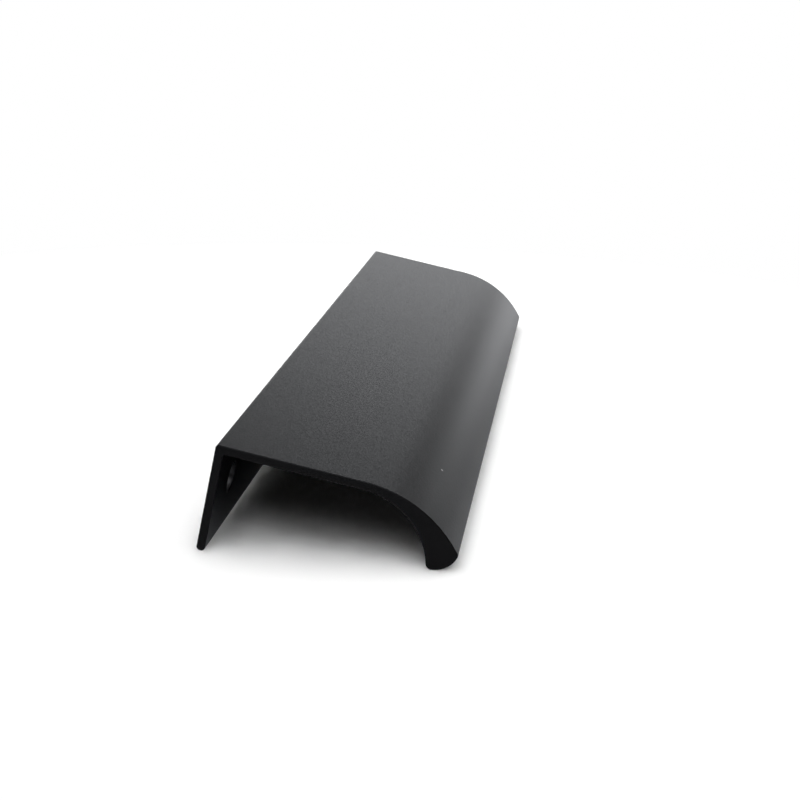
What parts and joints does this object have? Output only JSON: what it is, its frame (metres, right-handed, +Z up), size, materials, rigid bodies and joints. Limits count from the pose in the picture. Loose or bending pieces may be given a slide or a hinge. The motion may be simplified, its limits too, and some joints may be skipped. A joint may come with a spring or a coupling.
{
  "type": "edge pull",
  "caption": "Extruded aluminium edge pull in matte black: a thin drilled flange, a flat cover for the edge of a door, and a rolled lip with a hollow for the fingers behind it.",
  "frame": {"origin": "on the floor that the pull lies on, under the middle of its box", "axes": "+Y along the extruded length, +X from the flange to the lip, +Z up from the floor"},
  "size_m": [0.0358, 0.148, 0.0153],
  "materials": {
    "black_anodised_aluminium": "matte black anodised"
  },
  "bodies": {
    "root": {"edge_pull": "black_anodised_aluminium"}
  },
  "joints": []
}
